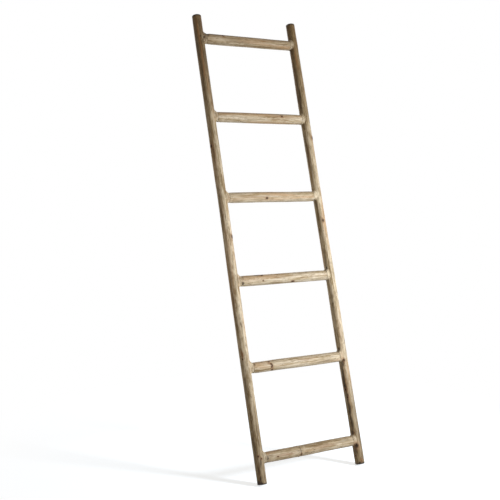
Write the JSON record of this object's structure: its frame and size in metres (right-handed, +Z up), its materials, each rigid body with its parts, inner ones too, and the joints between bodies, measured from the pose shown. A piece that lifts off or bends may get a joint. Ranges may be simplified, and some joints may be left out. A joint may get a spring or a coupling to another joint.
{
  "type": "blanket ladder",
  "caption": "Leaning blanket ladder of natural round wood: two poles joined by evenly spaced round rungs that carry folded blankets or towels.",
  "frame": {"origin": "on the floor, below the middle of the two leaning poles", "axes": "+X along the rungs towards the right pole, +Y towards the wall that the ladder leans on, +Z up"},
  "size_m": [0.466, 0.559, 1.7303],
  "materials": {
    "pole_wood": "debarked and sanded round wood, matt, with knots and drying checks",
    "rung_wood": "sanded round wood, matt to satin, a little paler than the poles",
    "pin_wood": "straight-grained hardwood dowel, a little darker than the poles, end grain showing"
  },
  "bodies": {
    "root": {"left_pole": "pole_wood", "right_pole": "pole_wood", "rung_1": "rung_wood", "rung_2": "rung_wood", "rung_3": "rung_wood", "rung_4": "rung_wood", "rung_5": "rung_wood", "rung_6": "rung_wood", "pin_left_1": "pin_wood", "pin_left_2": "pin_wood", "pin_left_3": "pin_wood", "pin_left_4": "pin_wood", "pin_left_5": "pin_wood", "pin_left_6": "pin_wood", "pin_right_1": "pin_wood", "pin_right_2": "pin_wood", "pin_right_3": "pin_wood", "pin_right_4": "pin_wood", "pin_right_5": "pin_wood", "pin_right_6": "pin_wood"}
  },
  "joints": []
}
